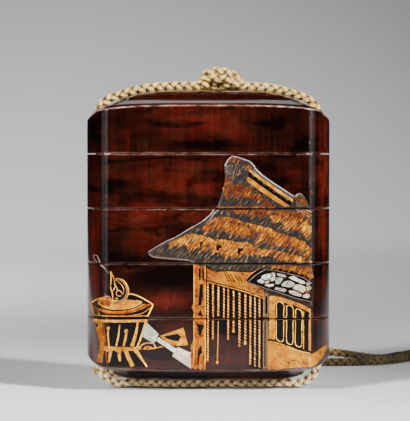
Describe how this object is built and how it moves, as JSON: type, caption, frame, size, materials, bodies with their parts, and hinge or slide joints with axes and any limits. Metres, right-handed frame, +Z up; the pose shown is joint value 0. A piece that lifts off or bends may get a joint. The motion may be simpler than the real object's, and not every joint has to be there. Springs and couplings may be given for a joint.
{
  "type": "inro case",
  "caption": "Stacked lacquered case with a lift-off lid and hollow compartments, threaded on a braided cord that is tied on top and trails behind.",
  "frame": {"origin": "on the ground under the middle of the case, at the underside of the cord that the case stands on", "axes": "+Z up, through the stack; +X to the right as the picture side is seen; the picture side faces -Y"},
  "size_m": [0.1079, 0.1101, 0.0854],
  "materials": {
    "lacquered_wood": "polished lacquer, dark brown and deep red, mottled",
    "gold_lacquer": "sprinkled gold, satin, worn",
    "shell_inlay": "polished mother of pearl",
    "braided_cord": "plaited straw-coloured silk, slightly soiled"
  },
  "bodies": {
    "root": {"lid": "lacquered_wood", "compartment_1": "lacquered_wood", "compartment_2": "lacquered_wood", "compartment_3": "lacquered_wood", "compartment_4": "lacquered_wood", "cord_left_side": "braided_cord", "cord_right_side": "braided_cord", "cord_under_case": "braided_cord", "cord_knot": "braided_cord", "cord_tail_over": "braided_cord", "cord_tail_under": "braided_cord", "cord_end_knot": "braided_cord"}
  },
  "joints": []
}
